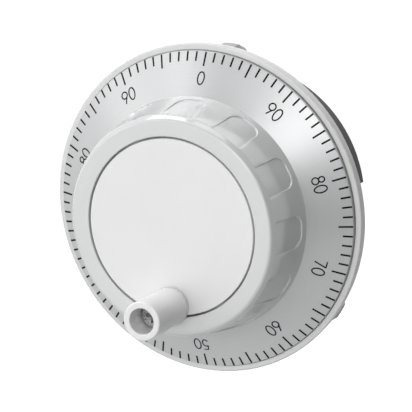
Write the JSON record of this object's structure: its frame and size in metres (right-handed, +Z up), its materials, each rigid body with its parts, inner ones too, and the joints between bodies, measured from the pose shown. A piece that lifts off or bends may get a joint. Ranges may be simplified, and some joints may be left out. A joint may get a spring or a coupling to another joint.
{
  "type": "pulse generator handwheel",
  "caption": "Panel-mounted pulse generator handwheel: a graduated dial with a fluted grip knob and a crank spinner, clicking over a fixed encoder housing with terminals.",
  "frame": {"origin": "centre of the flange's rear seat, on the wheel's axis, in the plane of the panel's front", "axes": "+Y along the wheel's axis into the panel, -Y towards the user, +Z up, +X to the user's right"},
  "size_m": [0.08, 0.0583, 0.08],
  "materials": {
    "rim_plastic": "satin light grey moulding",
    "knob_plastic": "satin light grey moulding",
    "cap_plastic": "fine matt white moulding",
    "grip_plastic": "satin white moulding",
    "housing_plastic": "matt black moulding",
    "terminal_plastic": "matt black moulding",
    "sensor_plastic": "matt black moulding",
    "cage_plastic": "satin polymer",
    "acetal": "satin polymer",
    "board_laminate": "satin glass laminate",
    "black_rubber": "matt rubber",
    "spun_aluminium": "spun and clear anodised",
    "cast_aluminium": "as turned",
    "zinc_plate": "bright zinc plated",
    "turned_steel": "finely turned",
    "bearing_steel": "ground and polished",
    "spring_steel": "dark oiled",
    "sintered_steel": "as sintered",
    "etched_steel": "thin etched sheet",
    "brass": "as turned"
  },
  "bodies": {
    "body": {"flange": "rim_plastic", "panel_gasket": "black_rubber", "mounting_studs": "zinc_plate", "mounting_nuts": "zinc_plate", "front_bearing_outer_race": "bearing_steel", "rear_bearing_outer_race": "bearing_steel", "detent_block": "acetal", "detent_block_screws": "zinc_plate", "detent_spring": "spring_steel", "circuit_board": "board_laminate", "board_screws": "zinc_plate", "optical_sensor": "sensor_plastic", "driver_chips": "sensor_plastic", "housing": "housing_plastic", "housing_screws": "zinc_plate", "terminal_block": "terminal_plastic", "terminal_screws": "zinc_plate", "terminal_clamps": "zinc_plate", "terminal_pins": "brass"},
    "wheel": {"front_bearing_inner_race": "bearing_steel", "rear_bearing_inner_race": "bearing_steel", "bearing_spacer": "turned_steel", "retaining_ring": "spring_steel", "shaft": "turned_steel", "wheel_hub": "cast_aluminium", "hub_set_screws": "spring_steel", "dial_clamp_screws": "zinc_plate", "dial": "spun_aluminium", "detent_ring": "sintered_steel", "knob": "knob_plastic", "knob_screws": "zinc_plate", "centre_cap": "cap_plastic", "spinner_insert": "brass", "spinner_washer": "knob_plastic", "spinner_screw": "turned_steel", "code_disc": "etched_steel", "disc_hub": "brass", "disc_clamp": "cast_aluminium", "disc_set_screw": "spring_steel"},
    "spinner": {"spinner_grip": "grip_plastic"},
    "front_ball_set": {"front_bearing_balls": "bearing_steel", "front_bearing_cage": "cage_plastic"},
    "rear_ball_set": {"rear_bearing_balls": "bearing_steel", "rear_bearing_cage": "cage_plastic"},
    "detent": {"detent_ball": "bearing_steel"}
  },
  "joints": [
    {"name": "handwheel_spin", "type": "hinge", "parent": "body", "child": "wheel", "pos_m": [0, 0, 0], "axis": [0, 1, 0], "continuous": true},
    {"name": "spinner_spin", "type": "hinge", "parent": "wheel", "child": "spinner", "pos_m": [0, -0.03, -0.01905], "axis": [0, 1, 0], "continuous": true},
    {"name": "front_ball_set_spin", "type": "hinge", "parent": "body", "child": "front_ball_set", "pos_m": [0, -0.0038, 0], "axis": [0, 1, 0], "continuous": true},
    {"name": "rear_ball_set_spin", "type": "hinge", "parent": "body", "child": "rear_ball_set", "pos_m": [0, 0.004, 0], "axis": [0, 1, 0], "continuous": true},
    {"name": "detent_click", "type": "slide", "parent": "body", "child": "detent", "axis": [-0.9956, 0, 0.0941], "range_m": [0, 0.00025], "stiffness_N_per_m": 1500, "springref_m": 0.001}
  ],
  "couplings": [
    {"joint": "front_ball_set_spin", "follows": "handwheel_spin", "ratio": 0.38889},
    {"joint": "rear_ball_set_spin", "follows": "handwheel_spin", "ratio": 0.38889}
  ]
}
